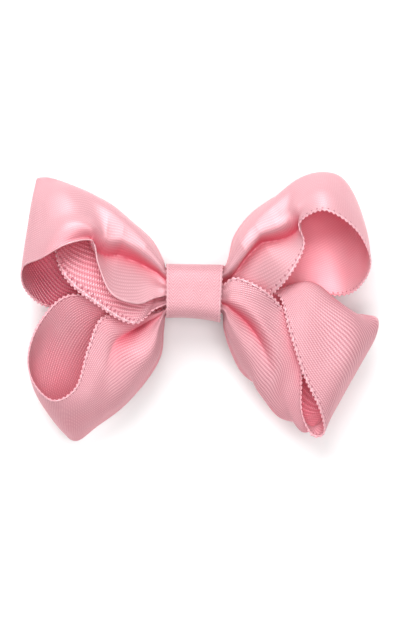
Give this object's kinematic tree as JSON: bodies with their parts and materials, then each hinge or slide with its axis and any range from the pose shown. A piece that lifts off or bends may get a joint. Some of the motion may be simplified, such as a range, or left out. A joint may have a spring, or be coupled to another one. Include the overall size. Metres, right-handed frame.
{
  "type": "alligator hair clip with satin bow",
  "caption": "Toothed steel alligator hair clip carrying a pink picot-edged satin ribbon bow with a plain centre wrap.",
  "frame": {"origin": "on the flat back face of the lower jaw, under the middle of the centre wrap", "axes": "+X along the clip towards its thumb tabs, +Y towards the bow's upper loops, +Z out of the bow's front"},
  "size_m": [0.0856, 0.0649, 0.025],
  "materials": {
    "satin": "satin ribbon with a fine twill and looped edges",
    "clip_steel": "nickel plated",
    "spring_wire": "bright wire",
    "hot_glue": "translucent",
    "thread": "spun polyester"
  },
  "bodies": {
    "lower_body": {"lower_jaw": "clip_steel", "hinge_pin": "clip_steel", "torsion_spring": "spring_wire"},
    "bow_body": {"upper_jaw": "clip_steel", "clip_lining": "satin", "glue_pad": "hot_glue", "bow_waist": "satin", "gathering_thread": "thread", "centre_wrap": "satin", "upper_left_loop": "satin", "upper_right_loop": "satin", "lower_left_loop": "satin", "lower_right_loop": "satin"}
  },
  "joints": [
    {"name": "jaw_hinge", "type": "hinge", "parent": "lower_body", "child": "bow_body", "pos_m": [0.011, 0, 0.0036], "axis": [0, 1, 0], "range_deg": [0, 20], "stiffness_Nm_per_rad": 0.05, "springref_deg": -34.38, "deforming": ["torsion_spring"]}
  ]
}
